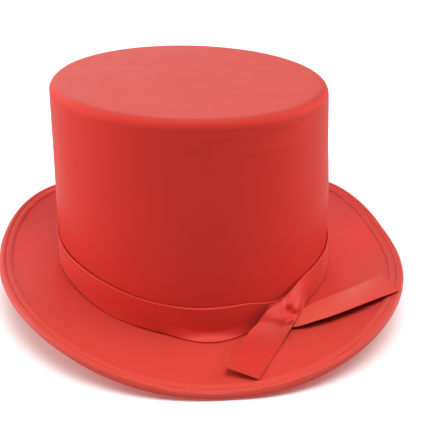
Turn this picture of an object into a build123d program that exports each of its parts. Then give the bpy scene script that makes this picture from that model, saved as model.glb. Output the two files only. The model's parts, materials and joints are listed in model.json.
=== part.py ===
from build123d import *
import os
from math import cos, radians, sin

# A soft costume top hat: satin over a moulded former, with a ribbon band knotted at
# the wearer's left front.  Frame: +Z up, front of the hat towards -Y, wearer's left
# towards +X, origin on the table under the middle of the brim.  Millimetres.

# Driving dimensions -----------------------------------------------------------
# Brim: a sheet that curls up evenly towards both sides and runs straight along Y.
BRIM_HALF_WIDTH = 127.6
BRIM_HALF_LENGTH = 159.8
BRIM_FULLNESS = 0.635        # 0.552 is a plain ellipse, more has fuller corners
SIDE_CURL = 20.2             # rise of the sheet at the brim's widest point
CORE_THICK = 2.0
COVER_THICK = 0.5
BINDING_THICK = 0.6
BINDING_WIDTH = 9.0
EDGE_REED = 2.0              # side of the square reed inside the hem
# Crown: an oval former that narrows to its tip and leans a little.
BASE_HALF_WIDTH = 89.4
BASE_HALF_LENGTH = 103.0
TOP_HALF_WIDTH = 85.3
TOP_HALF_LENGTH = 95.6
CROWN_RISE = 126.9           # from the brim's middle surface to the tip
CROWN_LEAN = -5.4            # sideways shift of the tip
TIP_ROUND = 5.7
# Layers of the crown wall, from the outside in.
FORMER_THICK = 1.6
COLLAR_THICK = 0.8
COLLAR_HEIGHT = 14.0
LINING_THICK = 0.4
LINING_START = 8.0           # lower edge of the side lining above the sheet
SWEATBAND_THICK = 0.8
SWEATBAND_HEIGHT = 30.0
TIP_LINING_DROP = 12.0       # how far the tip lining turns down
# Sewing.
THREAD = 0.3
STITCH_MARGIN = 1.5
TACK_LENGTH = 3.0
BAND_TACK_ANGLES = (20, 110, 200, 265)
# Ribbon: band, knot and the two tails.
BAND_THICK = 0.8
BAND_HEIGHT = 18.5
RIBBON_WIDTH = 20.0
TAIL_THICK = 0.8
KNOT_ANGLE = -62.0           # round the crown from the wearer's left
KNOT_LENGTH = 23.0
KNOT_HEIGHT = 16.0
KNOT_DEPTH = 7.0
KNOT_ROUND = 3.0
FRONT_TAIL_ROOT = (30.0, -107.0)
FRONT_TAIL_HEADING = -118.0
FRONT_TAIL_LENGTH = 39.0
FRONT_TAIL_SLANT = 3.0       # how far one corner of the cut end runs on
SIDE_TAIL_ROOT = (62.5, -89.0)
SIDE_TAIL_HEADING = 14.0
SIDE_TAIL_LENGTH = 47.5
SIDE_TAIL_SLANT = 1.0
SIDE_TAIL_LIFT = 1.5         # extra height of the side tail at its root
# Label at the back of the sweatband.
LABEL_WIDTH = 24.0
LABEL_DROP = 22.0
LABEL_THICK = 0.4
LABEL_TOP = 30.0
LABEL_STANDOFF = 1.6
GAP = 0.4                    # between pieces that move apart

# Places worked out from them ---------------------------------------------------
HALF_CORE = CORE_THICK / 2
COVER_FACE = HALF_CORE + COVER_THICK
BINDING_FACE = COVER_FACE + BINDING_THICK
TAIL_REST = BINDING_FACE + THREAD + GAP
MID_Z = BINDING_FACE
TIP_Z = MID_Z + CROWN_RISE
FORMER_FACE = COVER_THICK
COLLAR_FACE = FORMER_FACE + FORMER_THICK
COLLAR_INSIDE = COLLAR_FACE + COLLAR_THICK
LINING_FACE = COLLAR_INSIDE + THREAD
SWEATBAND_FACE = LINING_FACE + LINING_THICK
SWEATBAND_INSIDE = SWEATBAND_FACE + SWEATBAND_THICK
LINING_SEAM_Z = TIP_Z - TIP_LINING_DROP
REACH = 150.0                # half width of the working blocks, across the hat
DEPTH = 180.0                # and half length, along it


def crown_axes(z, inset):
    """Half width, half length and sideways shift of the crown's oval at a height."""
    share = (z - MID_Z) / CROWN_RISE
    half_width = BASE_HALF_WIDTH + (TOP_HALF_WIDTH - BASE_HALF_WIDTH) * share
    half_length = BASE_HALF_LENGTH + (TOP_HALF_LENGTH - BASE_HALF_LENGTH) * share
    return half_width - inset, half_length - inset, CROWN_LEAN * share


def sheet_z(x, offset=0.0):
    """Height of the brim's sheet at x, at an offset above its middle surface."""
    return MID_Z + offset + SIDE_CURL * (x / BRIM_HALF_WIDTH)**2


def sheet_line(offset):
    """Control points of the parabola across the sheet at an offset."""
    middle, side = sheet_z(0, offset), sheet_z(REACH, offset)
    return (-REACH, side), (0, 2 * middle - side), (REACH, side)


def crown_form(inset):
    """The solid inside one face of the crown wall, run on below the brim."""
    low, high = MID_Z - 12.0, TIP_Z - inset
    low_width, low_length, low_shift = crown_axes(low, inset)
    top_width, top_length, top_shift = crown_axes(high, inset)
    with BuildPart() as form:
        with BuildSketch(Plane((low_shift, 0, low))):
            Ellipse(low_width, low_length)
        with BuildSketch(Plane((top_shift, 0, high))):
            Ellipse(top_width, top_length)
        loft()
        fillet(form.faces().sort_by(Axis.Z)[-1].edges(), TIP_ROUND - inset)
    return form.part


def sheet_layer(low, high):
    """A layer of the brim's sheet between two offsets from its middle surface."""
    with BuildPart() as layer:
        with BuildSketch(Plane.XZ):
            with BuildLine():
                under = Bezier(*sheet_line(low))
                over = Bezier(*sheet_line(high))
                Line(under @ 0, over @ 0)
                Line(under @ 1, over @ 1)
            make_face()
        extrude(amount=DEPTH, both=True)
    return layer.part


def above_sheet(offset):
    """Everything above the sheet at an offset from its middle surface."""
    top = TIP_Z + TIP_LINING_DROP
    with BuildPart() as space:
        with BuildSketch(Plane.XZ):
            with BuildLine():
                under = Bezier(*sheet_line(offset))
                Polyline(under @ 0, (-REACH, top), (REACH, top), under @ 1)
            make_face()
        extrude(amount=DEPTH, both=True)
    return space.part


def slab(low, high):
    """A level block between two heights, wider than the hat."""
    with BuildPart() as block:
        with BuildSketch(Plane.XY.offset(low)):
            Rectangle(2 * REACH, 2 * DEPTH)
        extrude(amount=high - low)
    return block.part


def brim_prism(inset):
    """A tall block with the brim's outline, drawn in from its edge."""
    half_width, half_length = BRIM_HALF_WIDTH - inset, BRIM_HALF_LENGTH - inset
    with BuildPart() as prism:
        with BuildSketch(Plane.XY.offset(-10)):
            with BuildLine():
                for side, end in ((1, 1), (-1, 1), (-1, -1), (1, -1)):
                    Bezier((side * half_width, 0),
                           (side * half_width, end * half_length * BRIM_FULLNESS),
                           (side * half_width * BRIM_FULLNESS, end * half_length),
                           (0, end * half_length))
            make_face()
        extrude(amount=80)
    return prism.part


def brim_ring(low, high, outer_inset, crown_inset):
    """A layer of the brim from near its edge to one face of the crown wall."""
    with BuildPart() as ring:
        add(sheet_layer(low, high))
        add(brim_prism(outer_inset), mode=Mode.INTERSECT)
        add(crown_form(crown_inset), mode=Mode.SUBTRACT)
    return ring.part


def edge_ring(low, high, outer_inset, inner_inset):
    """A ring of the brim between two outlines drawn in from its edge."""
    with BuildPart() as ring:
        add(sheet_layer(low, high))
        add(brim_prism(outer_inset), mode=Mode.INTERSECT)
        add(brim_prism(inner_inset), mode=Mode.SUBTRACT)
    return ring.part


def wall_ring(space, outer_inset, inner_inset):
    """The part of the crown wall between two of its faces that lies in a space."""
    with BuildPart() as ring:
        add(crown_form(outer_inset))
        add(crown_form(inner_inset), mode=Mode.SUBTRACT)
        add(space, mode=Mode.INTERSECT)
    return ring.part


def crown_point(angle, inset, height):
    """A point on one face of the crown wall, at a height above the brim's sheet."""
    z = sheet_z(BASE_HALF_WIDTH * cos(radians(angle)), height)
    half_width, half_length, shift = crown_axes(z, inset)
    return Vector(half_width * cos(radians(angle)) + shift, half_length * sin(radians(angle)), z)


def crown_plane(angle, inset, height):
    """A plane on the crown wall: x up, y round the crown and z straight out."""
    out = Vector(cos(radians(angle)) / BASE_HALF_WIDTH, sin(radians(angle)) / BASE_HALF_LENGTH, 0)
    return Plane(crown_point(angle, inset, height), x_dir=(0, 0, 1), z_dir=out.normalized())


def tail_block(root, heading, length, slant):
    """A tall block with a ribbon tail's outline, cut slantwise at its free end."""
    half = RIBBON_WIDTH / 2
    along = (cos(radians(heading)), sin(radians(heading)), 0)
    with BuildPart() as block:
        with BuildSketch(Plane((root[0], root[1], -10), x_dir=along, z_dir=(0, 0, 1))):
            with BuildLine():
                Polyline((0, -half), (length - slant, -half), (length + slant, half), (0, half), close=True)
            make_face()
        extrude(amount=80)
    return block.part


def finish(piece, name):
    """Label a finished piece and write it to its own file."""
    piece.part.label = name
    export_step(piece.part, "parts/" + name + ".step")


os.makedirs("parts", exist_ok=True)

# Crown: moulded former with the satin laminated over it -------------------------
with BuildPart() as crown_shell:
    add(wall_ring(above_sheet(COVER_FACE), FORMER_FACE, COLLAR_FACE))
finish(crown_shell, "crown_shell")

with BuildPart() as crown_cover:
    add(wall_ring(above_sheet(COVER_FACE), 0, FORMER_FACE))
finish(crown_cover, "crown_cover")

# Brim: felt core with a collar turned up inside the crown, and its two covers ---
with BuildPart() as brim_core:
    add(brim_ring(-HALF_CORE, HALF_CORE, BINDING_THICK + EDGE_REED, COLLAR_INSIDE))
    add(wall_ring(sheet_layer(0, COLLAR_HEIGHT), COLLAR_FACE, COLLAR_INSIDE))
finish(brim_core, "brim_core")

with BuildPart() as brim_top_cover:
    add(brim_ring(HALF_CORE, COVER_FACE, BINDING_THICK, COLLAR_FACE))
finish(brim_top_cover, "brim_top_cover")

with BuildPart() as brim_under_cover:
    add(brim_ring(-COVER_FACE, -HALF_CORE, BINDING_THICK, COLLAR_INSIDE))
finish(brim_under_cover, "brim_under_cover")

with BuildPart() as brim_edge_reed:
    add(edge_ring(-HALF_CORE, HALF_CORE, BINDING_THICK, BINDING_THICK + EDGE_REED))
finish(brim_edge_reed, "brim_edge_reed")

# Binding folded over the edge, and the thread that holds it down ----------------
with BuildPart() as edge_space:
    add(sheet_layer(-COVER_FACE, COVER_FACE))
    add(brim_prism(BINDING_THICK), mode=Mode.INTERSECT)

with BuildPart() as brim_binding:
    add(edge_ring(-BINDING_FACE, BINDING_FACE, 0, BINDING_WIDTH))
    add(edge_space.part, mode=Mode.SUBTRACT)
finish(brim_binding, "brim_binding")

with BuildPart() as binding_thread:
    stitch_line = BINDING_WIDTH - STITCH_MARGIN
    add(edge_ring(BINDING_FACE, BINDING_FACE + THREAD, stitch_line, stitch_line + THREAD))
finish(binding_thread, "binding_thread")

# Inside the crown: seam thread, the two linings and the sweatband ---------------
with BuildPart() as crown_seam_thread:
    seam_height = COLLAR_HEIGHT / 2
    add(wall_ring(sheet_layer(seam_height, seam_height + THREAD), COLLAR_INSIDE, LINING_FACE))
finish(crown_seam_thread, "crown_seam_thread")

with BuildPart() as side_lining:
    add(wall_ring(above_sheet(LINING_START), LINING_FACE, SWEATBAND_FACE))
    add(slab(0, LINING_SEAM_Z), mode=Mode.INTERSECT)
finish(side_lining, "side_lining")

with BuildPart() as tip_lining:
    add(wall_ring(slab(LINING_SEAM_Z, TIP_Z), LINING_FACE, SWEATBAND_FACE))
finish(tip_lining, "tip_lining")

with BuildPart() as lining_thread:
    seam_space = slab(LINING_SEAM_Z - THREAD / 2, LINING_SEAM_Z + THREAD / 2)
    add(wall_ring(seam_space, SWEATBAND_FACE, SWEATBAND_FACE + THREAD))
finish(lining_thread, "lining_thread")

with BuildPart() as sweatband:
    add(wall_ring(sheet_layer(-HALF_CORE, SWEATBAND_HEIGHT), SWEATBAND_FACE, SWEATBAND_INSIDE))
finish(sweatband, "sweatband")

with BuildPart() as sweatband_thread:
    thread_space = sheet_layer(STITCH_MARGIN, STITCH_MARGIN + THREAD)
    add(wall_ring(thread_space, SWEATBAND_INSIDE, SWEATBAND_INSIDE + THREAD))
finish(sweatband_thread, "sweatband_thread")

# Ribbon band round the foot of the crown, tacked on at four places --------------
with BuildPart() as hat_band:
    add(wall_ring(sheet_layer(COVER_FACE, COVER_FACE + BAND_HEIGHT), -BAND_THICK, 0))
finish(hat_band, "hat_band")

with BuildPart() as band_tacks:
    for angle in BAND_TACK_ANGLES:
        with Locations(crown_plane(angle, -BAND_THICK, COVER_FACE + BAND_HEIGHT - STITCH_MARGIN)):
            Box(THREAD, TACK_LENGTH, 3 * THREAD)
    add(crown_form(-BAND_THICK), mode=Mode.SUBTRACT)
finish(band_tacks, "band_tacks")

# Knot: a soft rounded block against the band, with a tack at each side ----------
with BuildPart() as band_knot:
    knot_plane = crown_plane(KNOT_ANGLE, 0, COVER_FACE + GAP + KNOT_HEIGHT / 2)
    with BuildSketch(knot_plane.offset(-KNOT_DEPTH)):
        RectangleRounded(KNOT_HEIGHT, KNOT_LENGTH, KNOT_HEIGHT / 3)
    extrude(amount=2 * KNOT_DEPTH)
    fillet(band_knot.faces().sort_by(Axis(knot_plane.origin, knot_plane.z_dir))[-1].edges(), KNOT_ROUND)
    add(crown_form(-BAND_THICK), mode=Mode.SUBTRACT)
    add(above_sheet(COVER_FACE + GAP), mode=Mode.INTERSECT)
finish(band_knot, "band_knot")

with BuildPart() as knot_tacks:
    half_turn = 0.5 * KNOT_LENGTH + 0.3 * TACK_LENGTH
    tack_plane = crown_plane(KNOT_ANGLE, 0, COVER_FACE + KNOT_HEIGHT / 2)
    for side in (-1, 1):
        with BuildSketch(tack_plane):
            with Locations((0, side * half_turn)):
                Rectangle(THREAD, TACK_LENGTH)
        extrude(amount=2 * THREAD, both=True)
    add(crown_form(-BAND_THICK), mode=Mode.SUBTRACT)
    add(band_knot.part, mode=Mode.SUBTRACT)
finish(knot_tacks, "knot_tacks")

# Front tail: lies along the brim's own curve, just clear of it ------------------
with BuildPart() as ribbon_tail_front:
    add(sheet_layer(TAIL_REST, TAIL_REST + TAIL_THICK))
    add(tail_block(FRONT_TAIL_ROOT, FRONT_TAIL_HEADING, FRONT_TAIL_LENGTH, FRONT_TAIL_SLANT),
        mode=Mode.INTERSECT)
finish(ribbon_tail_front, "ribbon_tail_front")

# Side tail: a straight ramp that bridges the dip of the brim --------------------
ramp_start, ramp_end = SIDE_TAIL_ROOT[0] / 2, BRIM_HALF_WIDTH
ramp_rest = SIDE_TAIL_ROOT[0] + SIDE_TAIL_LENGTH
root_z = sheet_z(SIDE_TAIL_ROOT[0], TAIL_REST + SIDE_TAIL_LIFT)
slope = (sheet_z(ramp_rest, TAIL_REST) - root_z) / SIDE_TAIL_LENGTH
start_z = root_z - slope * (SIDE_TAIL_ROOT[0] - ramp_start)
end_z = root_z + slope * (ramp_end - SIDE_TAIL_ROOT[0])
with BuildPart() as ribbon_tail_side:
    with BuildSketch(Plane.XZ):
        with BuildLine():
            Polyline((ramp_start, start_z), (ramp_end, end_z), (ramp_end, end_z + TAIL_THICK),
                     (ramp_start, start_z + TAIL_THICK), close=True)
        make_face()
    extrude(amount=DEPTH, both=True)
    add(tail_block(SIDE_TAIL_ROOT, SIDE_TAIL_HEADING, SIDE_TAIL_LENGTH, SIDE_TAIL_SLANT),
        mode=Mode.INTERSECT)
finish(ribbon_tail_side, "ribbon_tail_side")

# Blank label that hangs from the sweatband at the back, and its stitch ----------
label_spot = crown_point(90, SWEATBAND_INSIDE, LABEL_TOP - MID_Z)
label_face = label_spot.Y - LABEL_STANDOFF
with BuildPart() as care_label:
    with BuildSketch(Plane((label_spot.X, label_face, LABEL_TOP - LABEL_DROP))):
        Rectangle(LABEL_WIDTH, LABEL_THICK)
    extrude(amount=LABEL_DROP)
finish(care_label, "care_label")

with BuildPart() as label_thread:
    with BuildSketch(Plane((label_spot.X, label_face, LABEL_TOP + 2 * THREAD))):
        Rectangle(LABEL_WIDTH - 2 * STITCH_MARGIN, 4 * LABEL_STANDOFF)
    extrude(amount=THREAD)
    add(crown_form(SWEATBAND_INSIDE), mode=Mode.INTERSECT)
    with BuildSketch(Plane((label_spot.X, label_face - LABEL_STANDOFF, LABEL_TOP))):
        Rectangle(LABEL_WIDTH, 2 * LABEL_STANDOFF)
    extrude(amount=LABEL_STANDOFF, mode=Mode.SUBTRACT)
finish(label_thread, "label_thread")

print("front tail hinge at", FRONT_TAIL_ROOT, round(sheet_z(FRONT_TAIL_ROOT[0], TAIL_REST + TAIL_THICK / 2), 2))
print("side tail hinge at", SIDE_TAIL_ROOT, round(root_z + TAIL_THICK / 2, 2))
print("label hinge at", round(label_spot.X, 2), round(label_face, 2), LABEL_TOP)
print("tip at", round(crown_axes(TIP_Z, 0)[2], 2), 0, round(TIP_Z, 2))
half_width, half_length, shift = crown_axes(MID_Z, SWEATBAND_INSIDE)
print("head opening", round(2 * half_width, 1), "by", round(2 * half_length, 1))
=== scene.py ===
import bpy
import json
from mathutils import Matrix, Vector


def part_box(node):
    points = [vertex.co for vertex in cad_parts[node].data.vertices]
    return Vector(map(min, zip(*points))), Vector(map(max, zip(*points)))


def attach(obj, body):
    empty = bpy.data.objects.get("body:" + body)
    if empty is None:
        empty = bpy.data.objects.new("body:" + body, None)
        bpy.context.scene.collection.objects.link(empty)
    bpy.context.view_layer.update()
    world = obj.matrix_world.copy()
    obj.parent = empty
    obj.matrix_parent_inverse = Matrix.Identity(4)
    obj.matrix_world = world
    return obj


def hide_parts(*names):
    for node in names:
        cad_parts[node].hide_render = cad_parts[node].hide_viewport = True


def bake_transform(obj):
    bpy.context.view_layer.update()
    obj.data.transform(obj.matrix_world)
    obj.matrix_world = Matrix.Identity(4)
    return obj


bl_info = {
    "name": "Satin Top Hat",
    "version": (1, 0, 0),
    "blender": (4, 5, 0),
    "location": "3D View > Sidebar > Top Hat",
    "description": "Dresses the top hat's frame in satin, ribbon, linings and stitching",
    "category": "Object",
}

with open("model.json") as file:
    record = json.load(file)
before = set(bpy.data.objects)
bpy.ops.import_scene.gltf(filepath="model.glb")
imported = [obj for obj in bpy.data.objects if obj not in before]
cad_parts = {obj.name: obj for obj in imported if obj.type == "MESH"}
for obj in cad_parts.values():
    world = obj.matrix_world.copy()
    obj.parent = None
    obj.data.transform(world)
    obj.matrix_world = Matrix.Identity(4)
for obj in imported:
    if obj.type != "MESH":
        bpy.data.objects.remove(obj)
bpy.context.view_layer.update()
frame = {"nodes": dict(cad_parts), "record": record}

import json
from math import atan2, copysign, cos, pi, radians, sin, sqrt

import bmesh
import bpy
from mathutils import Matrix, Vector, noise

MM = 0.001

# Fixed places of the hat. Its front is towards -Y and the wearer's left towards +X. ---------------
HALF_WIDTH, HALF_LENGTH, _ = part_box("brim_binding")[1]
TIP_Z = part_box("crown_cover")[1][2]
TIP_SEAM_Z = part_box("tip_lining")[0][2]      # where the side lining meets the tip's
LABEL_LOW, LABEL_HIGH = (Vector(corner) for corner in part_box("care_label"))

MID_Z = 2.1 * MM                  # middle of the brim's thickness on the centre line
COVER_FACE = 1.5 * MM             # the satin's face, from that middle
FRAME_CURL = 20.2 * MM            # how far the plain frame's brim rises at its sides
OUTLINE_POWER = 2.3               # 2 would make the brim's outline an ellipse
CORNER_PUSH = {                   # how far a corner goes out, by (at the back, on the wearer's left)
    (True, True): 1.0 * MM, (True, False): -2.2 * MM,
    (False, True): 1.2 * MM, (False, False): -0.6 * MM,
}

FOOT_HALF_WIDTH = 89.4 * MM       # the crown's oval where it meets the brim
FOOT_HALF_LENGTH = 103.0 * MM
WIDTH_TAPER = 4.1 * MM            # how much smaller the oval is at the tip
LENGTH_TAPER = 7.4 * MM
TIP_SHIFT = -5.4 * MM             # how far the tip leans over
FOOT_TUCK = 1.3 * MM              # how far the band pulls the crown in, and over, at its foot
FOOT_SHIFT = -0.9 * MM

LINING_FACE = 3.2 * MM            # from the crown's outside to the lining's back
TIP_LINING_DROP = 4.9 * MM        # from the crown's top down to the tip lining
LINING_LAP = 3 * MM               # how far the tip lining's skirt covers the side lining
GATHERS = 46                      # round the linings
SWEATBAND_FACE = 3.6 * MM
SWEATBAND_INSIDE = 4.4 * MM

CROWN_SATIN_WALL = 0.45 * MM
BRIM_SATIN_WALL = 0.4 * MM
RIBBON_WALL = 0.4 * MM
LINING_WALL = 0.3 * MM
SWEATBAND_WALL = 0.7 * MM
LABEL_WALL = 0.32 * MM

INSIDE_CROWN = Vector((0, 0, TIP_Z / 2))


# Form -----------------------------------------------------------------------
def form():
    return bpy.context.scene.top_hat_form


def dye():
    return bpy.context.scene.top_hat_dye


def smooth(low, high, value):
    """0 at low, 1 at high, and an even curve between."""
    share = min(1, max(0, (value - low) / (high - low)))
    return share * share * (3 - 2 * share)


def bump(centre, reach, value):
    """1 at the centre, fading to 0 at reach on either side."""
    return smooth(reach, 0, abs(value - centre))


def sheet_z(x, y, offset=0.0):
    """Height of the brim at a place, at an offset from the middle of its thickness."""
    across, along = x / HALF_WIDTH, y / HALF_LENGTH
    curl = form().side_curl * across**2 * (1 + form().corner_curl * along**2)
    return MID_Z + offset + curl


def frame_sheet_z(x):
    """Height of the plain frame's brim, which curls up evenly along its length."""
    return MID_Z + FRAME_CURL * (x / HALF_WIDTH)**2


def crown_oval(z, inset=0.0, soft=True):
    """Half width, half length and sideways shift of the crown at a height."""
    share = (z - MID_Z) / (TIP_Z - MID_Z)
    tuck = 1 - smooth(22 * MM, 80 * MM, z) if soft else 0.0
    half_width = FOOT_HALF_WIDTH - WIDTH_TAPER * share - FOOT_TUCK * tuck - inset
    half_length = FOOT_HALF_LENGTH - LENGTH_TAPER * share - inset
    return half_width, half_length, TIP_SHIFT * share + FOOT_SHIFT * tuck


def oval_point(oval, turn, z, reach=1.0):
    """A point on one of the crown's ovals, or that share of the way out to it."""
    half_width, half_length, shift = oval
    return Vector((half_width * cos(turn) * reach + shift, half_length * sin(turn) * reach, z))


def crown_at(turn, z, inset=0.0):
    """A point on the crown wall, or that far inside it."""
    return oval_point(crown_oval(z, inset), turn, z)


def crown_out(turn):
    """The level direction straight out of the crown wall."""
    return Vector((cos(turn) / FOOT_HALF_WIDTH, sin(turn) / FOOT_HALF_LENGTH, 0)).normalized()


def crown_along(turn):
    """The level direction round the crown wall."""
    return Vector((-sin(turn) * FOOT_HALF_WIDTH, cos(turn) * FOOT_HALF_LENGTH, 0)).normalized()


def foot_at(turn, height, inset=0.0):
    """A point on the crown wall at a height above the brim's satin."""
    guess = crown_at(turn, MID_Z, inset)
    for _ in range(2):
        z = sheet_z(guess.x, guess.y, COVER_FACE) + height
        guess = crown_at(turn, z, inset)
    return guess


def give(point):
    """Where the soft brim really lies: its edge is a little off the frame's even oval."""
    across, along = point.x / HALF_WIDTH, point.y / HALF_LENGTH
    near_edge = smooth(0.6, 1.0, across**2 + along**2)
    out = Vector((point.x, point.y, 0)).normalized()
    push = CORNER_PUSH[along > 0, across > 0] * 1.8 * abs(across * along)
    shift = Vector((0.9 * MM, 0.7 * MM * smooth(0, 0.8, -along), 0))
    return point + (shift + out * push) * near_edge


def outline_at(turn, inset=0.0):
    """A point of the brim's outline, drawn in from its edge."""
    power = 2 / OUTLINE_POWER
    x, y = (copysign(abs(share)**power, share) for share in (cos(turn), sin(turn)))
    return give(Vector(((HALF_WIDTH - inset) * x, (HALF_LENGTH - inset) * y, 0)))


def hem_at(turn, inset, offset):
    """A point of the hem: in from the edge, and off the middle of the brim."""
    point = outline_at(turn, inset)
    point.z = sheet_z(point.x, point.y, offset)
    return point


def along_curve(points, share):
    """A smooth curve through a list of points, from 0 at the first to 1 at the last."""
    place = min(share, 0.99999) * (len(points) - 1)
    step = int(place)
    part = place - step
    before = points[max(step - 1, 0)]
    start = points[step]
    end = points[step + 1]
    after = points[min(step + 2, len(points) - 1)]
    return (start
            + (end - before) * (0.5 * part)
            + (before * 2 - start * 5 + end * 4 - after) * (0.5 * part**2)
            + (start * 3 - before - end * 3 + after) * (0.5 * part**3))


def ripple(point, size, seed=0.0):
    """Smooth unevenness of cloth, from -1 to 1, with bumps of about that size."""
    return noise.noise(point / size + Vector((seed, 2 * seed, 3 * seed)))


# Mesh -----------------------------------------------------------------------
def cloth(around, across, place, wide=1.0, high=1.0):
    """A grid laid over a surface: place(u, v) gives the point, u and v from 0 to 1.

    Its weave is laid out at its real size, wide by high in metres.
    """
    bm = bmesh.new()
    weave = bm.loops.layers.uv.new("weave")
    bmesh.ops.create_grid(bm, x_segments=around, y_segments=across, size=0.5)
    for face in bm.faces:
        for loop in face.loops:
            loop[weave].uv = ((loop.vert.co.x + 0.5) * wide, (loop.vert.co.y + 0.5) * high)
    for vert in bm.verts:
        vert.co = place(vert.co.x + 0.5, vert.co.y + 0.5)
    bmesh.ops.remove_doubles(bm, verts=bm.verts, dist=0.002 * MM)
    return bm


def close_ends(bm):
    """Cap the open ends of a tube of cloth and point its faces outwards."""
    ends = [edge for edge in bm.edges if edge.is_boundary]
    if ends:
        bmesh.ops.holes_fill(bm, edges=ends, sides=0)
    bmesh.ops.recalc_face_normals(bm, faces=bm.faces)


def face_towards(bm, spot):
    """Turn an open sheet so that its face side looks at a spot."""
    bmesh.ops.recalc_face_normals(bm, faces=bm.faces)
    looking = sum(face.normal.dot(spot - face.calc_center_median()) for face in bm.faces)
    if looking < 0:
        bmesh.ops.reverse_faces(bm, faces=bm.faces)


def strip(along, across, surface, thickness, wide, high):
    """A ribbon with two faces and rounded selvedges over surface(u, share)."""
    step = 0.004
    edge_share = 0.03

    def place(u, v):
        share = 1 - abs(2 * v - 1)
        lengthways = surface(min(u + step, 1), share) - surface(max(u - step, 0), share)
        sideways = surface(u, min(share + step, 1)) - surface(u, max(share - step, 0))
        out = lengthways.cross(sideways).normalized()
        from_edge = min(share, 1 - share)
        rounding = sqrt(1 - max(0, 1 - from_edge / edge_share)**2)
        selvedge = 1 + 0.7 * bump(0.035, 0.035, from_edge)
        side = 1 if v < 0.5 else -1
        return surface(u, share) + out * (side * thickness / 2 * rounding * selvedge)

    bm = cloth(along, across, place, wide, high)
    close_ends(bm)
    return bm


def piece(name, bm, material, body="hat", stands_for=()):
    """Turn a bmesh into a finished piece that rides on a body."""
    mesh = bpy.data.meshes.new(name)
    bm.to_mesh(mesh)
    bm.free()
    mesh.shade_smooth()
    made = bpy.data.objects.new(name, mesh)
    bpy.context.scene.collection.objects.link(made)
    mesh.materials.append(material)
    if body:
        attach(made, body)
    if stands_for:
        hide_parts(*stands_for)
    return made


def wall(made, thickness):
    """Give an open sheet a wall behind its face side."""
    solid = made.modifiers.new("wall", "SOLIDIFY")
    solid.thickness = thickness
    solid.offset = -1


def follow_brim(node, material):
    """A copy of a hidden frame piece that follows the soft hat's real shape."""
    bm = bmesh.new()
    bm.from_mesh(frame["nodes"][node].data)
    bmesh.ops.remove_doubles(bm, verts=bm.verts, dist=0.001 * MM)
    in_brim, in_crown = node.startswith("brim"), node.startswith("crown")
    if in_brim:
        for step in range(-15, 16):
            bmesh.ops.bisect_plane(bm, geom=bm.verts[:] + bm.edges[:] + bm.faces[:], dist=0.001 * MM,
                                   plane_co=(0, step * 10 * MM, 0), plane_no=(0, 1, 0))
    for vert in bm.verts:
        rise = frame_sheet_z(vert.co.x)
        if in_crown:
            plain_width, _, plain_shift = crown_oval(vert.co.z, soft=False)
            half_width, _, shift = crown_oval(vert.co.z)
            vert.co.x = shift + (vert.co.x - plain_shift) * half_width / plain_width
        else:
            vert.co = give(vert.co)
        if node == "brim_edge_reed":
            # The reed is drawn in, to stay inside the hem's fold.
            vert.co.x *= 0.989
            vert.co.y *= 0.991
        fade = 1 - smooth(30 * MM, 90 * MM, vert.co.z)
        if in_brim:
            # Felt pressed between the covers is thinner than the frame's.
            vert.co.z = rise + (vert.co.z - rise) * 0.75
        vert.co.z += (sheet_z(vert.co.x, vert.co.y) - rise) * fade
        vert.co.z -= 1.2 * MM * smooth(TIP_Z - 14 * MM, TIP_Z - 3 * MM, vert.co.z)
    return piece(node + "_laid", bm, material, stands_for=(node,))


def stitches(name, spots, length, thread, stands_for, body="hat"):
    """A row of sewn stitches: spots are (place, direction along, direction out)."""
    bm = bmesh.new()
    for place, along, out in spots:
        made = bmesh.ops.create_cube(bm, size=1)["verts"]
        side = along.cross(out).normalized()
        turn = Matrix((along.normalized(), side, out.normalized())).transposed()
        bmesh.ops.scale(bm, vec=(length, thread, thread), verts=made)
        for vert in made:
            vert.co = turn @ vert.co + place
    bmesh.ops.bevel(bm, geom=bm.edges[:], offset=0.3 * thread, segments=1, affect="EDGES", profile=0.5,
                    material=-1)
    return piece(name, bm, sewing_thread(), body, stands_for)


# Shader maths -----------------------------------------------------------------
class Socket:
    """A node's output that adds Math nodes when it is used in an expression."""

    def __init__(self, tree, link=None):
        self.tree, self.link = tree, link

    def node(self, kind, settings=None, **inputs):
        """Any node, by its type: settings first, then sockets by name, or by number as in_0."""
        made = self.tree.nodes.new(kind)
        for key, value in (settings or {}).items():
            setattr(made, key, value)
        for key, value in inputs.items():
            number = key.startswith("in_")
            socket = made.inputs[int(key[3:]) if number else key.replace("_", " ")]
            if isinstance(value, Socket):
                self.tree.links.new(value.link, socket)
            else:
                socket.default_value = value
        return made

    def of(self, kind, output=0, settings=None, **inputs):
        return Socket(self.tree, self.node(kind, settings, **inputs).outputs[output])

    def maths(self, operation, left, right=0.0):
        return self.of("ShaderNodeMath", 0, {"operation": operation}, in_0=left, in_1=right)

    def __add__(self, other):
        return self.maths("ADD", self, other)

    __radd__ = __add__

    def __sub__(self, other):
        return self.maths("SUBTRACT", self, other)

    def __rsub__(self, other):
        return self.maths("SUBTRACT", other, self)

    def __mul__(self, other):
        return self.maths("MULTIPLY", self, other)

    __rmul__ = __mul__

    def sine(self):
        return self.maths("SINE", self)

    def absolute(self):
        return self.maths("ABSOLUTE", self)

    def axes(self):
        """The x, y and z of a vector."""
        made = self.node("ShaderNodeSeparateXYZ", in_0=self)
        return [Socket(self.tree, made.outputs[axis]) for axis in "XYZ"]

    def clamped(self, low, high):
        """0 at low and 1 at high, straight between and level beyond."""
        return self.of("ShaderNodeMapRange", Value=self, From_Min=low, From_Max=high)

    def mix(self, first, second):
        return self.of("ShaderNodeMix", 2, {"data_type": "RGBA"}, in_0=self, in_6=first, in_7=second)


def dyed(colour, red, green=None, blue=None):
    """A colour with its channels scaled: one number scales them all, and two the red and the rest."""
    green = red if green is None else green
    blue = green if blue is None else blue
    return colour[0] * red, colour[1] * green, colour[2] * blue


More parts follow.
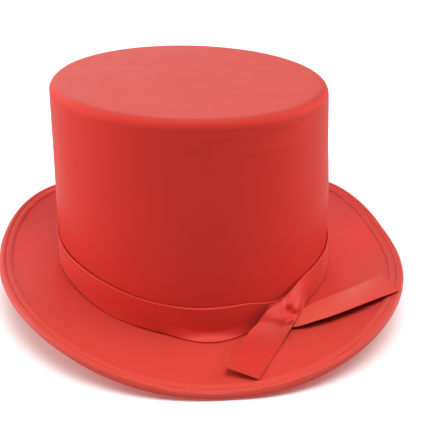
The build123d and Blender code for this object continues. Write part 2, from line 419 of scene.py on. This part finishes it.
# Where a finish's colour paints sheen or shade: 0 to 1 over the piece ------------
# The front of the brim and hem, where a whiter colour is painted sheen.
def front_nap(spot):
    return spot.axes()[1].clamped(-20 * MM, -95 * MM)


# The back of the brim and hem, where a darker colour is painted shade.
def back_nap(spot):
    return spot.axes()[1].clamped(5 * MM, 75 * MM)


# The crown's top, where a paler pink colour is a painted sheen: the light reflected off it.
def over_tip(spot):
    return spot.axes()[2].clamped(TIP_Z - 1.3 * MM, TIP_Z - 0.7 * MM)


def off_wall(near, far):
    """From near to far, as shares squared of the crown's oval at its foot."""
    def place(spot):
        x, y, _ = spot.axes()
        across, along = x * (1 / FOOT_HALF_WIDTH), y * (1 / FOOT_HALF_LENGTH)
        return (across * across + along * along).clamped(near, far)

    return place


# Finishes -----------------------------------------------------------------------
def fabric(name, colour, roughness, sheen, weave, relief, crinkle=0.0, ribs=0, shade=0.12, coarse=1.0,
           tint=(1.0, 0.62, 0.55), gloss=0.18, changes=()):
    """A cloth: weave is its thread count per metre, and relief and crinkle are depths in metres.

    changes are (place, colour): the cloth takes that colour where the place says 1.
    """
    material = bpy.data.materials.new(name)
    material.use_nodes = True
    tree = material.node_tree
    shader = tree.nodes["Principled BSDF"]
    shader.inputs["Sheen Weight"].default_value = sheen
    shader.inputs["Sheen Roughness"].default_value = 0.35
    shader.inputs["Sheen Tint"].default_value = (*tint, 1)
    shader.inputs["Specular IOR Level"].default_value = gloss
    start = Socket(tree)
    spot = start.of("ShaderNodeTexCoord", "Object")
    warp_line, weft_line, _ = start.of("ShaderNodeTexCoord", "UV").axes()
    warp = (warp_line * (2 * pi * weave)).sine()
    weft = (weft_line * (2 * pi * weave * coarse)).sine()
    threads = warp * 0.35 + weft * 0.65
    soft = start.of("ShaderNodeTexNoise", Vector=spot, Scale=28.0, Detail=3.0)
    fine = start.of("ShaderNodeTexNoise", Vector=spot, Scale=900.0, Detail=2.0)

    tone = (soft - 0.5) * (2 * shade) + (fine - 0.5) * shade + threads * 0.03 + 0.5
    dark, light = dyed(colour, 1 - shade), dyed(colour, 1 + shade)
    paint = tone.clamped(0, 1).mix((*dark, 1), (*light, 1))
    for place, changed in changes:
        paint = place(spot).mix(paint, (*changed, 1))
    tree.links.new(paint.link, shader.inputs["Base Color"])

    dullness = (soft - 0.5) * 0.16 + (fine - 0.5) * 0.10 + roughness
    tree.links.new(dullness.link, shader.inputs["Roughness"])

    height = threads * relief + (fine - 0.5) * (relief * 1.5)
    if ribs:
        height = height + (warp_line * (2 * pi * ribs)).sine() * (relief * 3)
    if crinkle:
        folds = start.of("ShaderNodeTexNoise", Vector=spot, Scale=45.0, Detail=2.0, Distortion=1.2)
        height = height + (folds - 0.5) * crinkle
    bumps = start.of("ShaderNodeBump", Height=height, Strength=1.0, Distance=1.0)
    tree.links.new(bumps.link, shader.inputs["Normal"])
    return material


def plain(name, colour, roughness, grain):
    """A solid finish with a fine grain, for hidden felt and plastic."""
    material = bpy.data.materials.new(name)
    material.use_nodes = True
    tree = material.node_tree
    shader = tree.nodes["Principled BSDF"]
    start = Socket(tree)
    spot = start.of("ShaderNodeTexCoord", "Object")
    fine = start.of("ShaderNodeTexNoise", Vector=spot, Scale=grain, Detail=4.0)
    tree.links.new(fine.mix((*dyed(colour, 0.85), 1), (*colour, 1)).link, shader.inputs["Base Color"])
    tree.links.new(((fine - 0.5) * 0.2 + roughness).link, shader.inputs["Roughness"])
    bumps = start.of("ShaderNodeBump", Height=fine * (0.2 * MM), Strength=1.0, Distance=1.0)
    tree.links.new(bumps.link, shader.inputs["Normal"])
    return material


def made_once(make):
    """Give the same material to every piece that asks for a finish."""
    name = make.__name__
    return lambda: bpy.data.materials.get(name) or make(name)


@made_once
def crown_satin(name):
    red = dye().satin_red
    # The tip's paler, pinker colour is a painted highlight, not the satin's own colour.
    return fabric(name, dyed(red, 1.02), 0.44, 0.0, 2600, 0.010 * MM, crinkle=0.12 * MM, gloss=0.06,
                  changes=[(over_tip, dyed(red, 0.80, 1.5, 1.7))])


@made_once
def brim_satin(name):
    red = dye().satin_red
    # Whiter at the front and darker at the back: painted sheen and painted shade.
    return fabric(name, dyed(red, 0.97), 0.46, 0.22, 2600, 0.010 * MM, crinkle=0.10 * MM,
                  changes=[(front_nap, dyed(red, 0.85, 1.12)), (back_nap, dyed(red, 0.70, 0.50))])


@made_once
def hem_satin(name):
    red = dye().satin_red
    # The hem's colour is darker than the brim's: painted shade on its sides. Whiter at the front and darker
    # at the back: painted sheen and painted shade.
    return fabric(name, dyed(red, 0.86, 0.8), 0.42, 0.20, 2600, 0.012 * MM, crinkle=0.16 * MM,
                  changes=[(front_nap, dyed(red, 0.90, 1.45, 1.5)), (back_nap, dyed(red, 0.72, 0.5))])


@made_once
def ribbon_satin(name):
    red = dye().ribbon_red
    # Darker away from the crown's wall, where the front tail lies over the brim: painted shade.
    return fabric(name, dyed(red, 1.01), 0.40, 0.18, 2200, 0.014 * MM, crinkle=0.06 * MM, coarse=0.5,
                  changes=[(off_wall(1.08, 1.30), dyed(red, 0.75))])


@made_once
def side_ribbon_satin(name):
    red = dye().ribbon_red
    # A whiter, pinker copy of the ribbon's colour is painted sheen; towards the tail's far end the painted
    # sheen fades and the colour darkens a little, painted shade.
    return fabric(name, dyed(red, 0.94, 2.2, 2.1), 0.40, 0.22, 2200, 0.014 * MM, crinkle=0.06 * MM,
                  coarse=0.5, changes=[(off_wall(1.50, 1.90), dyed(red, 0.90, 0.85, 0.7))])


@made_once
def lining_taffeta(name):
    return fabric(name, dyed(dye().lining_red, 1), 0.42, 0.12, 1500, 0.018 * MM, crinkle=0.2 * MM)


@made_once
def grosgrain(name):
    return fabric(name, dyed(dye().lining_red, 0.7), 0.62, 0.1, 1400, 0.030 * MM, ribs=700)


@made_once
def sewing_thread(name):
    return fabric(name, dyed(dye().satin_red, 0.9), 0.55, 0.1, 3000, 0.020 * MM)


@made_once
def label_tape(name):
    return fabric(name, (0.84, 0.82, 0.77), 0.6, 0.1, 1800, 0.020 * MM, shade=0.04, tint=(1, 1, 1))


@made_once
def felt(name):
    return plain(name, (0.72, 0.68, 0.62), 0.9, 700.0)


@made_once
def reed_plastic(name):
    return plain(name, (0.78, 0.77, 0.74), 0.4, 300.0)


# Settings ---------------------------------------------------------------------
class TopHatForm(bpy.types.PropertyGroup):
    side_curl: bpy.props.FloatProperty(
        name="Side Curl", description="How far the brim rises at each side", default=19.9 * MM,
        unit="LENGTH", subtype="DISTANCE")
    corner_curl: bpy.props.FloatProperty(
        name="Corner Curl", description="How much more it rises towards the brim's front and back",
        default=0.8)
    tip_round: bpy.props.FloatProperty(
        name="Tip Rounding", description="Radius of the crown's top edge", default=5.7 * MM,
        unit="LENGTH", subtype="DISTANCE")
    hem_width: bpy.props.FloatProperty(
        name="Hem Width", description="Width of the folded hem on the brim", default=8.6 * MM,
        unit="LENGTH", subtype="DISTANCE")
    ribbon_width: bpy.props.FloatProperty(
        name="Ribbon Width", description="Width of the ribbon round the crown", default=19.4 * MM,
        unit="LENGTH", subtype="DISTANCE")
    stitch_length: bpy.props.FloatProperty(
        name="Stitch Length", description="Length of one machine stitch", default=2.6 * MM,
        unit="LENGTH", subtype="DISTANCE")


class TopHatDye(bpy.types.PropertyGroup):
    satin_red: bpy.props.FloatVectorProperty(
        name="Satin", description="Colour of the crown, brim and hem", default=(0.66, 0.040, 0.028),
        size=3, min=0, max=1, subtype="COLOR")
    ribbon_red: bpy.props.FloatVectorProperty(
        name="Ribbon", description="Colour of the band, the knot and its tails", default=(0.72, 0.044, 0.030),
        size=3, min=0, max=1, subtype="COLOR")
    lining_red: bpy.props.FloatVectorProperty(
        name="Lining", description="Colour of the linings", default=(0.50, 0.030, 0.026),
        size=3, min=0, max=1, subtype="COLOR")


# Crown and brim -----------------------------------------------------------------
class TOPHAT_OT_crown(bpy.types.Operator):
    """Stretch satin over the moulded crown, with its softly rounded tip"""
    bl_idname = "tophat.crown"
    bl_label = "Crown"

    def execute(self, context):
        round_off = form().tip_round
        side_top = TIP_Z - round_off
        side_share = 0.62       # of the cloth's rows, up the side
        edge_share = 0.34       # of the rest, round the top edge

        def uneven(point):
            return 0.5 * MM * ripple(point, 45 * MM, 3)

        def side(turn, share):
            low = foot_at(turn, 0).z
            point = crown_at(turn, low + (side_top - low) * share)
            point += crown_out(turn) * uneven(point)
            puckers = bump(side_top - 8 * MM, 20 * MM, point.z) * bump(radians(288), radians(52), turn)
            wrinkle = noise.noise(Vector((turn * 5.0, point.z / (4.5 * MM), 6.0)))
            return point + crown_out(turn) * 0.55 * MM * puckers * wrinkle

        def edge(turn, share):
            bend = pi / 2 * share
            point = crown_at(turn, side_top, round_off * (1 - cos(bend)))
            point.z = side_top + round_off * sin(bend)
            return point + crown_out(turn) * uneven(crown_at(turn, side_top)) * cos(bend)

        def tip(turn, reach):
            point = oval_point(crown_oval(side_top, round_off), turn, TIP_Z, reach)
            point.z -= 0.54 * MM * (1 - reach**2) + 0.25 * MM * ripple(point, 40 * MM, 5) * (1 - reach**4)
            return point

        def place(u, v):
            turn = 2 * pi * u
            if v < side_share:
                return side(turn, v / side_share)
            over = (v - side_share) / (1 - side_share)
            if over < edge_share:
                return edge(turn, over / edge_share)
            return tip(turn, max(0, 1 - (over - edge_share) / (1 - edge_share)))

        bm = cloth(300, 150, place, wide=0.6, high=0.22)
        face_towards(bm, INSIDE_CROWN)
        bmesh.ops.reverse_faces(bm, faces=bm.faces)
        cover = piece("crown_satin_cover", bm, crown_satin(), stands_for=("crown_cover",))
        wall(cover, CROWN_SATIN_WALL)
        follow_brim("crown_shell", felt())
        return {"FINISHED"}


class TOPHAT_OT_brim(bpy.types.Operator):
    """Lay the two satin covers and the felt core of the curled brim"""
    bl_idname = "tophat.brim"
    bl_label = "Brim"

    def execute(self, context):
        tucked = form().hem_width - 1.5 * MM

        def cover(turned_in, face, unevenness, seed):
            def place(u, v):
                turn = 2 * pi * u
                point = foot_at(turn, 0, turned_in).lerp(outline_at(turn, tucked), v)
                point.z = sheet_z(point.x, point.y, face)
                loose = smooth(0, 0.15, v) * smooth(1, 0.85, v)
                point.z += unevenness * ripple(point, 38 * MM, seed) * loose
                return point

            return cloth(256, 28, place, wide=0.75, high=0.05)

        top = cover(1.0 * MM, COVER_FACE, 0.35 * MM, 7)
        under = cover(3.9 * MM, -COVER_FACE, 0.3 * MM, 9)
        for name, bm, node, up in (("brim_top_satin", top, "brim_top_cover", 1),
                                   ("brim_under_satin", under, "brim_under_cover", -1)):
            face_towards(bm, Vector((0, 0, up)))
            wall(piece(name, bm, brim_satin(), stands_for=(node,)), BRIM_SATIN_WALL)
        follow_brim("brim_core", felt())
        follow_brim("brim_edge_reed", reed_plastic())
        follow_brim("crown_seam_thread", sewing_thread())
        return {"FINISHED"}


class TOPHAT_OT_hem(bpy.types.Operator):
    """Fold the satin hem over the brim's edge and stitch it down"""
    bl_idname = "tophat.hem"
    bl_label = "Hem"

    def execute(self, context):
        hem = form().hem_width / MM
        # In from the edge and off the middle of the brim, in millimetres: over the top with its
        # stitched groove, round the edge, back underneath, and home through the inside of the fold.
        top = ((hem, 1.55), (hem - 0.25, 2.1), (6.8, 2.4), (5.3, 2.25),
               (4.4, 1.95), (3.6, 2.15), (2.6, 2.2))
        edge = ((1.6, 1.75), (0.8, 0.9), (0.25, -0.1), (0.15, -1.0), (0.7, -1.75))
        under = ((2.0, -2.05), (4.3, -1.8), (6.0, -2.0), (hem - 0.3, -1.9), (hem, -1.55))
        inside = ((hem - 0.8, -1.5), (5.0, -1.5), (2.6, -1.25), (1.5, 0.0),
                  (2.6, 1.25), (5.0, 1.5), (hem - 0.8, 1.5))
        section = [Vector(point) * MM for point in (*top, *edge, *under, *inside, top[0])]
        groove = Vector((4.4, 2.08)) * MM
        plump = 2.2 * MM
        join = radians(33)      # where the hem's two ends lap

        def place(u, v):
            turn = 2 * pi * u
            inset, offset = along_curve(section, v)
            rim = outline_at(turn)
            if offset > 1.6 * MM:
                # The top is plumper at the sides than at the front and back.
                offset = plump + (offset - plump) * (0.35 + 0.65 * abs(cos(turn)))
            pucker = (ripple(rim, 9 * MM, 11) * 0.16 + ripple(rim, 30 * MM, 12) * 0.2) * MM
            lap = bump(join, radians(1.2), turn) * MM
            inner = smooth(2 * MM, 6 * MM, inset)
            offset += (pucker + 0.45 * lap) * (1 if offset > 1.4 * MM else 0.15)
            inset += 0.35 * MM * ripple(rim, 14 * MM, 13) * inner - 0.4 * lap * (1 - inner)
            return hem_at(turn, inset, offset)

        bm = cloth(512, 96, place, wide=0.9, high=0.022)
        bmesh.ops.recalc_face_normals(bm, faces=bm.faces)
        piece("brim_hem", bm, hem_satin(), stands_for=("brim_binding",))

        spots = []
        pitch = form().stitch_length
        turn, step = 0.0, 0.004
        while turn < 2 * pi:
            here = hem_at(turn, *groove)
            along = hem_at(turn + step, *groove) - here
            spots.append((here, along.normalized(), Vector((0, 0, 1))))
            turn += step * pitch / along.length
        stitches("hem_stitches", spots, 0.62 * pitch, 0.32 * MM, ("binding_thread",))
        return {"FINISHED"}


# Ribbon -------------------------------------------------------------------------
KNOT_TURN = radians(-61)


class TOPHAT_OT_band(bpy.types.Operator):
    """Wind the ribbon round the foot of the crown and tack it on"""
    bl_idname = "tophat.band"
    bl_label = "Band"

    def execute(self, context):
        foot = 0.4 * MM

        def surface(u, share):
            turn = 2 * pi * u
            rim = outline_at(turn)
            from_knot = (turn - KNOT_TURN + pi) % (2 * pi) - pi
            pinch = 5.2 * MM * bump(0, radians(17), from_knot)
            top = form().ribbon_width - pinch + 0.5 * MM * ripple(rim, 60 * MM, 21)
            # The band's foot flares out at the front, left of the knot.
            flare = bump(radians(270), radians(19), turn) + 0.2 * bump(radians(232), radians(20), turn)
            height = foot + (top - foot) * share**(1 + 0.7 * flare)
            slack = 0.55 * MM + 0.25 * MM * ripple(rim + Vector((0, 0, height)), 25 * MM, 22)
            slack += 0.5 * MM * share**3
            slack += 5.4 * MM * flare * max(0, 1 - share / 0.40)**1.3
            return foot_at(turn, height) + crown_out(turn) * slack

        bm = strip(384, 56, surface, RIBBON_WALL, 0.6, 0.04)
        piece("ribbon_band", bm, ribbon_satin(), stands_for=("hat_band",))

        spots = []
        for degrees_round in (20, 110, 200, 262):
            turn = radians(degrees_round)
            for side in (-1, 1):
                here = surface((turn + side * 0.012) / (2 * pi), 0.93) + crown_out(turn) * 0.3 * MM
                spots.append((here, Vector((-sin(turn), cos(turn), 0.4 * side)), crown_out(turn)))
        stitches("band_stitches", spots, 1.8 * MM, 0.3 * MM, ("band_tacks",))
        return {"FINISHED"}


class TOPHAT_OT_knot(bpy.types.Operator):
    """Wrap the lump of ribbon that the front tail is pulled over"""
    bl_idname = "tophat.knot"
    bl_label = "Knot"

    def execute(self, context):
        reach, tall, foot = radians(7.0), 12.0 * MM, 1.0 * MM

        def front(u, v):
            side, up = 2 * u - 1, 2 * v - 1
            turn = KNOT_TURN + reach * side
            dome = max(0, 1 - abs(side)**2.6) * max(0, 1 - abs(up)**3.0)
            out = 0.5 * MM + 2.6 * MM * dome**0.6
            out += 0.25 * MM * sin(9 * up + 2 * side) * dome
            height = foot + tall * v * (1 - 0.10 * side)
            return foot_at(turn, height) + crown_out(turn) * out

        def place(u, v):
            if v < 0.5:
                return front(u, 2 * v)
            back = foot_at(KNOT_TURN + reach * (2 * u - 1), foot + tall * (2 - 2 * v))
            return back + crown_out(KNOT_TURN) * 0.35 * MM

        bm = cloth(72, 144, place, wide=0.03, high=0.04)
        close_ends(bm)
        piece("ribbon_knot", bm, ribbon_satin(), stands_for=("band_knot",))

        spots = []
        for side in (-1, 1):
            turn = KNOT_TURN + side * 0.97 * reach
            here = foot_at(turn, 8 * MM) + crown_out(turn) * 1.3 * MM
            spots.append((here, Vector((-sin(turn), cos(turn), 0)), crown_out(turn)))
        stitches("knot_stitches", spots, 2.4 * MM, 0.35 * MM, ("knot_tacks",))
        return {"FINISHED"}


def knot_folds(point):
    """How far the pulled ribbon stands out round the knot's dimple, in metres."""
    dimple = Vector((44.4, -97.0, 14.6)) * MM
    pleat = Vector((38.5, -104.5, 11.0)) * MM
    pleat_run = Vector((49.5, -98.5, 13.2)) * MM - pleat
    away = (point - dimple).length
    place = min(1, max(0, (point - pleat).dot(pleat_run) / pleat_run.length_squared))
    beside = (point - pleat - pleat_run * place).length
    spread = atan2(point.z - dimple.z, point.x - dimple.x)
    rays = sin(6 * spread + 0.8) * smooth(1.5 * MM, 5 * MM, away) * (1 - smooth(8 * MM, 17 * MM, away))
    ridge = (1 - smooth(0, 2.4 * MM, beside)) * sin(pi * min(1, 0.15 + place))
    return (-3.4 * (1 - smooth(0, 5.5 * MM, away)) + 1.2 * ridge + 0.35 * rays) * MM


def on_crown(degrees_round, height, out):
    """A point over the brim's satin and out from the crown's wall, in millimetres."""
    turn = radians(degrees_round)
    return (foot_at(turn, height * MM) + crown_out(turn) * out * MM) / MM


def tail(name, material, low_edge, high_edge, body, node, crown, folds=False):
    """A ribbon tail between two edges, from the knot to its cut end.

    crown(u) is how far its middle stands above its edges, in millimetres.
    """
    low_points = [Vector(point) * MM for point in low_edge]
    high_points = [Vector(point) * MM for point in high_edge]

    def surface(u, share):
        low, high = along_curve(low_points, u), along_curve(high_points, u)
        point = low.lerp(high, share)
        steep = smooth(3 * MM, 10 * MM, abs(high.z - low.z)) if folds else 0.0
        out = (crown_out(KNOT_TURN) * 1.3 * steep + Vector((0, 0, 1 - 0.4 * steep))).normalized()
        point += out * (sin(pi * share) * crown(u) * MM)
        point.z += 0.2 * MM * ripple(point, 14 * MM, 31) * sin(pi * share)
        return point + out * knot_folds(point) if folds else point

    bm = strip(200 if folds else 90, 100 if folds else 48, surface, RIBBON_WALL, 0.06, 0.05)
    made = piece(name, bm, material, body=None, stands_for=(node,))
    joint = next(j for j in frame["record"]["behaviour"]["joints"] if j["child"] == body)
    hinge = Vector(joint["pos_m"])
    out = Vector((0, 0, 1)).cross(Vector(joint["axis"])).normalized()
    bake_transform(made)


class TOPHAT_OT_front_tail(bpy.types.Operator):
    """Sweep the ribbon from the wearer's left of the knot, over it and down to the front of the brim"""
    bl_idname = "tophat.front_tail"
    bl_label = "Front Tail"

    def execute(self, context):
        high = [on_crown(-43, 19.4, 1.0), on_crown(-50, 19.2, 1.3), on_crown(-56.5, 17.4, 2.4),
                on_crown(-63, 14.8, 3.8), on_crown(-69, 13.4, 4.8), (25.8, -103.6, 12.8), (20.4, -107.4, 9.5),
                (14.4, -115.8, 7.4), (7.0, -130.6, 6.8), (2.0, -141.5, 8.6)]
        low = [on_crown(-43, 0.6, 1.0), on_crown(-48.5, 0.7, 1.8), (54.5, -88.5, 9.3), (50.6, -95.0, 9.9),
               (47.0, -101.5, 9.9), (43.6, -107.4, 8.8), (39.8, -113.5, 7.6), (36.2, -119.5, 6.7),
               (28.0, -133.5, 5.6), (19.1, -150.2, 5.7)]
        tail("ribbon_front_tail", ribbon_satin(), low, high, "front_tail", "ribbon_tail_front",
             lambda u: 0.2 + 2.0 * bump(0.36, 0.46, u), folds=True)
        return {"FINISHED"}


class TOPHAT_OT_side_tail(bpy.types.Operator):
    """Lay the tail that bridges the brim's curl at the wearer's left"""
    bl_idname = "tophat.side_tail"
    bl_label = "Side Tail"

    def execute(self, context):
        front = [(41.0, -100.0, 6.9), (46.0, -103.4, 8.4), (52.5, -105.2, 11.0), (59.5, -105.4, 13.4),
                 (67.0, -104.8, 15.3), (76.0, -103.0, 17.4), (87.5, -100.2, 20.0), (97.0, -97.2, 21.7),
                 (110.6, -92.8, 23.6)]
        back = [(52.0, -86.0, 8.5), (57.5, -82.5, 9.3), (63.1, -79.0, 10.2), (68.6, -76.8, 11.3),
                (74.3, -74.8, 12.4), (84.1, -71.8, 14.5), (91.9, -69.6, 16.3), (100.6, -67.0, 18.6),
                (108.1, -64.5, 20.9)]
        tail("ribbon_side_tail", side_ribbon_satin(), front, back, "side_tail", "ribbon_tail_side",
             lambda u: 0.4 - 0.9 * u * (1 - u))
        return {"FINISHED"}


# Inside -------------------------------------------------------------------------
class TOPHAT_OT_lining(bpy.types.Operator):
    """Sew the side and tip linings inside the crown"""
    bl_idname = "tophat.lining"
    bl_label = "Lining"

    def execute(self, context):
        tip_z = TIP_Z - TIP_LINING_DROP
        skirt_face = LINING_FACE + 1.3 * MM
        skirt_share = 0.25      # of the tip lining's rows, down its skirt
        rounding = 1.5 * MM

        def side(u, v):
            turn = 2 * pi * u
            low = foot_at(turn, 7 * MM).z
            z = low + (TIP_SEAM_Z - low) * v
            gathers = 0.35 * MM * sin(turn * GATHERS + 1.5 * ripple(outline_at(turn), 50 * MM, 41)) * v**2
            loose = 0.8 * MM * (0.5 + 0.5 * ripple(crown_at(turn, z), 35 * MM, 42)) * sin(pi * v)
            return crown_at(turn, z, LINING_FACE + 0.5 * MM + loose + gathers)

        def tip(u, v):
            turn = 2 * pi * u
            if v < skirt_share:
                low = TIP_SEAM_Z - LINING_LAP
                bend = pi / 2 * v / skirt_share
                inset = skirt_face + rounding * (1 - cos(bend))
                return crown_at(turn, low + (tip_z - low) * sin(bend), inset)
            reach = (1 - v) / (1 - skirt_share)
            point = oval_point(crown_oval(TIP_Z, skirt_face + rounding), turn, tip_z, reach)
            gathers = 0.3 * MM * sin(turn * GATHERS) * smooth(0.75, 1, reach)
            point.z -= 1.2 * MM * (1 - reach**2) - gathers
            return point

        for name, place, node, rows in (("side_lining_cloth", side, "side_lining", 40),
                                        ("tip_lining_cloth", tip, "tip_lining", 48)):
            bm = cloth(368, rows, place, wide=0.56, high=0.1)
            face_towards(bm, INSIDE_CROWN)
            wall(piece(name, bm, lining_taffeta(), stands_for=(node,)), LINING_WALL)

        spots = []
        for step in range(180):
            turn = 2 * pi * step / 180
            here = crown_at(turn, TIP_SEAM_Z - LINING_LAP / 2, skirt_face + 0.12 * MM)
            spots.append((here, crown_along(turn), -crown_out(turn)))
        stitches("lining_stitches", spots, 2.0 * MM, 0.3 * MM, ("lining_thread",))
        return {"FINISHED"}


class TOPHAT_OT_sweatband(bpy.types.Operator):
    """Fit the ribbed sweatband inside the head opening"""
    bl_idname = "tophat.sweatband"
    bl_label = "Sweatband"

    def execute(self, context):
        low, tall = -3.2 * MM, 32.6 * MM

        def surface(u, share):
            turn = 2 * pi * u
            height = low + tall * share
            ease = 0.5 * MM * ripple(crown_at(turn, height), 30 * MM, 51) * sin(pi * share)
            return foot_at(turn, height, SWEATBAND_FACE + 0.75 * MM + ease)

        bm = strip(360, 40, surface, SWEATBAND_WALL, 0.57, 0.062)
        piece("grosgrain_sweatband", bm, grosgrain(), stands_for=("sweatband",))

        spots = []
        for step in range(200):
            turn = 2 * pi * step / 200
            here = foot_at(turn, 0.6 * MM, SWEATBAND_INSIDE + 0.42 * MM)
            spots.append((here, crown_along(turn), -crown_out(turn)))
        stitches("sweatband_stitches", spots, 1.7 * MM, 0.3 * MM, ("sweatband_thread",))
        return {"FINISHED"}


class TOPHAT_OT_label(bpy.types.Operator):
    """Hang the blank label at the back of the sweatband"""
    bl_idname = "tophat.label"
    bl_label = "Label"

    def execute(self, context):
        centre = (LABEL_LOW + LABEL_HIGH) / 2
        size = LABEL_HIGH - LABEL_LOW

        def surface(u, share):
            down = 1 - u
            bow = 0.5 * MM * sin(pi * share) * down
            return Vector((centre.x + (share - 0.5) * size.x, centre.y - 0.54 * MM * down**2 + bow,
                           LABEL_LOW.z + size.z * u))

        bm = strip(40, 40, surface, LABEL_WALL, 0.022, 0.05)
        made = piece("blank_label", bm, label_tape(), body="label", stands_for=("care_label",))

        spots = []
        count = 8
        for step in range(count):
            across = (step - (count - 1) / 2) / (count - 0.5) * (size.x - 3 * MM)
            here = Vector((centre.x + across, centre.y + 0.55 * MM, LABEL_HIGH.z + 0.75 * MM))
            spots.append((here, Vector((1, 0, 0)), Vector((0, -1, 0))))
        stitches("label_stitches", spots, 1.7 * MM, 0.35 * MM, ("label_thread",))
        return {"FINISHED"}


# Stage ------------------------------------------------------------------------
def pale_floor():
    bm = bmesh.new()
    bmesh.ops.create_grid(bm, x_segments=1, y_segments=1, size=40)
    mesh = bpy.data.meshes.new("floor")
    bm.to_mesh(mesh)
    bm.free()
    floor = bpy.data.objects.new("floor", mesh)
    floor.location.z = -0.4 * MM
    bpy.context.scene.collection.objects.link(floor)
    paper = bpy.data.materials.new("pale_paper")
    paper.use_nodes = True
    paper.node_tree.nodes["Principled BSDF"].inputs["Base Color"].default_value = (1, 1, 1, 1)
    paper.node_tree.nodes["Principled BSDF"].inputs["Roughness"].default_value = 0.9
    mesh.materials.append(paper)
    # Its bounce on the hat comes from the world below the horizon instead.
    floor.visible_diffuse = floor.visible_glossy = False


def studio_light():
    """A soft studio as a world: brightness by the direction that the light comes from."""
    world = bpy.data.worlds.new("studio")
    world.use_nodes = True
    tree = world.node_tree
    side, depth, height = Socket(tree).of("ShaderNodeTexCoord", "Generated").axes()
    panels = (side.absolute().clamped(0.55, 0.85) * depth.clamped(-0.4, 0.1) * depth.clamped(0.75, 0.35)
              * (4.1 - 0.7 * side))
    sweep = (depth.clamped(0.3, 0.6) * height.clamped(0.56, 0.42) * height.clamped(0.06, 0.2)
             * side.clamped(0.5, -0.1) * 2.0)
    overhead = (height * 0.985 + side * 0.08 - depth * 0.12).clamped(0.82, 0.98) * 5.1
    horizon = height.clamped(0.07, 0.02)
    below = height.clamped(0.0, -0.02)
    light = (panels + sweep + overhead + horizon) * (1 - below) + below * 0.95
    background = tree.nodes["Background"]
    tree.links.new(light.link, background.inputs["Strength"])
    background.inputs["Color"].default_value = (1, 1, 1, 1)
    bpy.context.scene.world = world
    bpy.context.scene.view_settings.view_transform = "Standard"


def camera():
    azimuth, elevation, roll = radians(-6.96), radians(22.86), radians(1.17)
    distance, aside, aim_height = 0.5813, 0.01256, 0.03617
    back = Vector((sin(azimuth) * cos(elevation), -cos(azimuth) * cos(elevation), sin(elevation)))
    right = Vector((cos(azimuth), sin(azimuth), 0))
    lens = bpy.data.cameras.new("view")
    lens.lens = 73.758
    lens.sensor_width = 36
    view = bpy.data.objects.new("view", lens)
    view.location = right * aside + Vector((0, 0, aim_height)) + back * distance
    aim = Matrix((right, right.cross(-back), back)).transposed()
    view.rotation_euler = (aim @ Matrix.Rotation(roll, 3, "Z")).to_euler()
    bpy.context.scene.collection.objects.link(view)
    bpy.context.scene.camera = view


class TOPHAT_OT_stage(bpy.types.Operator):
    """Set the pale floor, the soft studio light and the camera"""
    bl_idname = "tophat.stage"
    bl_label = "Stage"

    def execute(self, context):
        pale_floor()
        studio_light()
        camera()
        return {"FINISHED"}


# Add-on -------------------------------------------------------------------------
class TOPHAT_PT_sidebar(bpy.types.Panel):
    """Lists the hat's settings and pieces in the 3D view's sidebar"""
    bl_label = "Top Hat"
    bl_idname = "TOPHAT_PT_sidebar"
    bl_space_type = "VIEW_3D"
    bl_region_type = "UI"
    bl_category = "Top Hat"

    def draw(self, context):
        for settings in (context.scene.top_hat_form, context.scene.top_hat_dye):
            for key in settings.__annotations__:
                self.layout.prop(settings, key)
        for operator in PIECES:
            self.layout.operator(operator.bl_idname)


PIECES = (TOPHAT_OT_crown, TOPHAT_OT_brim, TOPHAT_OT_hem, TOPHAT_OT_band, TOPHAT_OT_knot,
          TOPHAT_OT_front_tail, TOPHAT_OT_side_tail, TOPHAT_OT_lining, TOPHAT_OT_sweatband,
          TOPHAT_OT_label, TOPHAT_OT_stage)
CLASSES = (TopHatForm, TopHatDye, *PIECES, TOPHAT_PT_sidebar)


def register():
    for cls in CLASSES:
        bpy.utils.register_class(cls)
    bpy.types.Scene.top_hat_form = bpy.props.PointerProperty(type=TopHatForm)
    bpy.types.Scene.top_hat_dye = bpy.props.PointerProperty(type=TopHatDye)


def unregister():
    del bpy.types.Scene.top_hat_dye
    del bpy.types.Scene.top_hat_form
    for cls in reversed(CLASSES):
        bpy.utils.unregister_class(cls)


def main():
    register()
    for operator in PIECES:
        group, name = operator.bl_idname.split(".")
        getattr(getattr(bpy.ops, group), name)()


if __name__ == "__main__":
    main()
